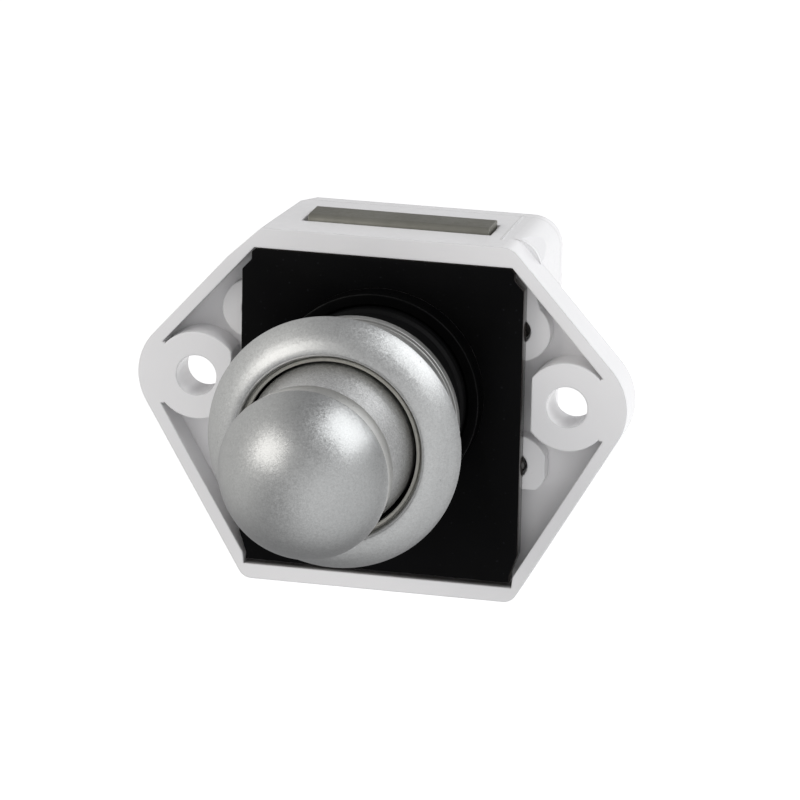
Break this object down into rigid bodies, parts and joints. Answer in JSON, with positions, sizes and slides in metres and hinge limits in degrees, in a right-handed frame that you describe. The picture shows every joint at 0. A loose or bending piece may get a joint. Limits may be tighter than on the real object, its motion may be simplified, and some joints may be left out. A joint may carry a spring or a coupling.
{
  "type": "push button cabinet lock",
  "caption": "Push button cabinet lock with a hexagonal rear flange, a domed knob on a round rosette and a flat sliding bolt in its top edge.",
  "frame": {"origin": "centre between the two fixing holes on the front face of the flange rim, which is also on the knob axis", "axes": "-Y is the knob's axis towards its head, +Z is the way the bolt comes out, +X is along the fixing holes, to the right when looking at the knob"},
  "size_m": [0.06, 0.0599, 0.0445],
  "materials": {
    "white_plastic": "moulded white plastic, semi-gloss",
    "black_plate": "black coated sheet, satin",
    "black_plastic": "black plastic, satin",
    "silver_paint": "pearl silver, satin with a fine metallic grain",
    "lip_metal": "pale grey, semi-gloss",
    "zinc_steel": "zinc plated steel",
    "bolt_metal": "dull grey die cast zinc"
  },
  "bodies": {
    "case": {"housing_frame": "white_plastic", "rear_cover": "white_plastic", "case_screws": "zinc_steel", "base_plate": "black_plate", "bore_collar": "black_plastic", "threaded_sleeve": "black_plastic", "guide_bush": "white_plastic", "spring_washer": "zinc_steel", "rosette_ring": "silver_paint", "rosette_hub": "silver_paint", "rosette_lip_ring": "lip_metal", "lever_bracket": "white_plastic", "lever_pivot_pin": "zinc_steel", "return_spring": "zinc_steel"},
    "knob": {"knob_head": "silver_paint", "knob_skirt": "silver_paint", "knob_shaft": "zinc_steel", "knob_nut": "zinc_steel", "track_slider": "black_plastic", "drive_pin": "zinc_steel", "shaft_clip": "zinc_steel"},
    "bolt": {"latch_bolt": "bolt_metal", "bolt_carrier": "white_plastic", "bolt_rivets": "zinc_steel"},
    "lever": {"latch_lever": "zinc_steel", "lever_tip_pin": "zinc_steel"}
  },
  "joints": [
    {"name": "knob_press", "type": "slide", "parent": "case", "child": "knob", "axis": [0, 1, 0], "range_m": [0, 0.008], "stiffness_N_per_m": 300, "springref_m": -0.006, "deforming": ["return_spring"]},
    {"name": "bolt_slide", "type": "slide", "parent": "case", "child": "bolt", "axis": [0, 0, 1], "range_m": [0, 0.00641]},
    {"name": "lever_swing", "type": "hinge", "parent": "case", "child": "lever", "pos_m": [0, 0.0134, -0.0068], "axis": [0, 0, 1], "range_deg": [0, 15.7]}
  ],
  "couplings": [
    {"joint": "bolt_slide", "follows": "knob_press", "ratio": 0.8},
    {"joint": "lever_swing", "follows": "knob_press", "rad_per_m": 34}
  ]
}
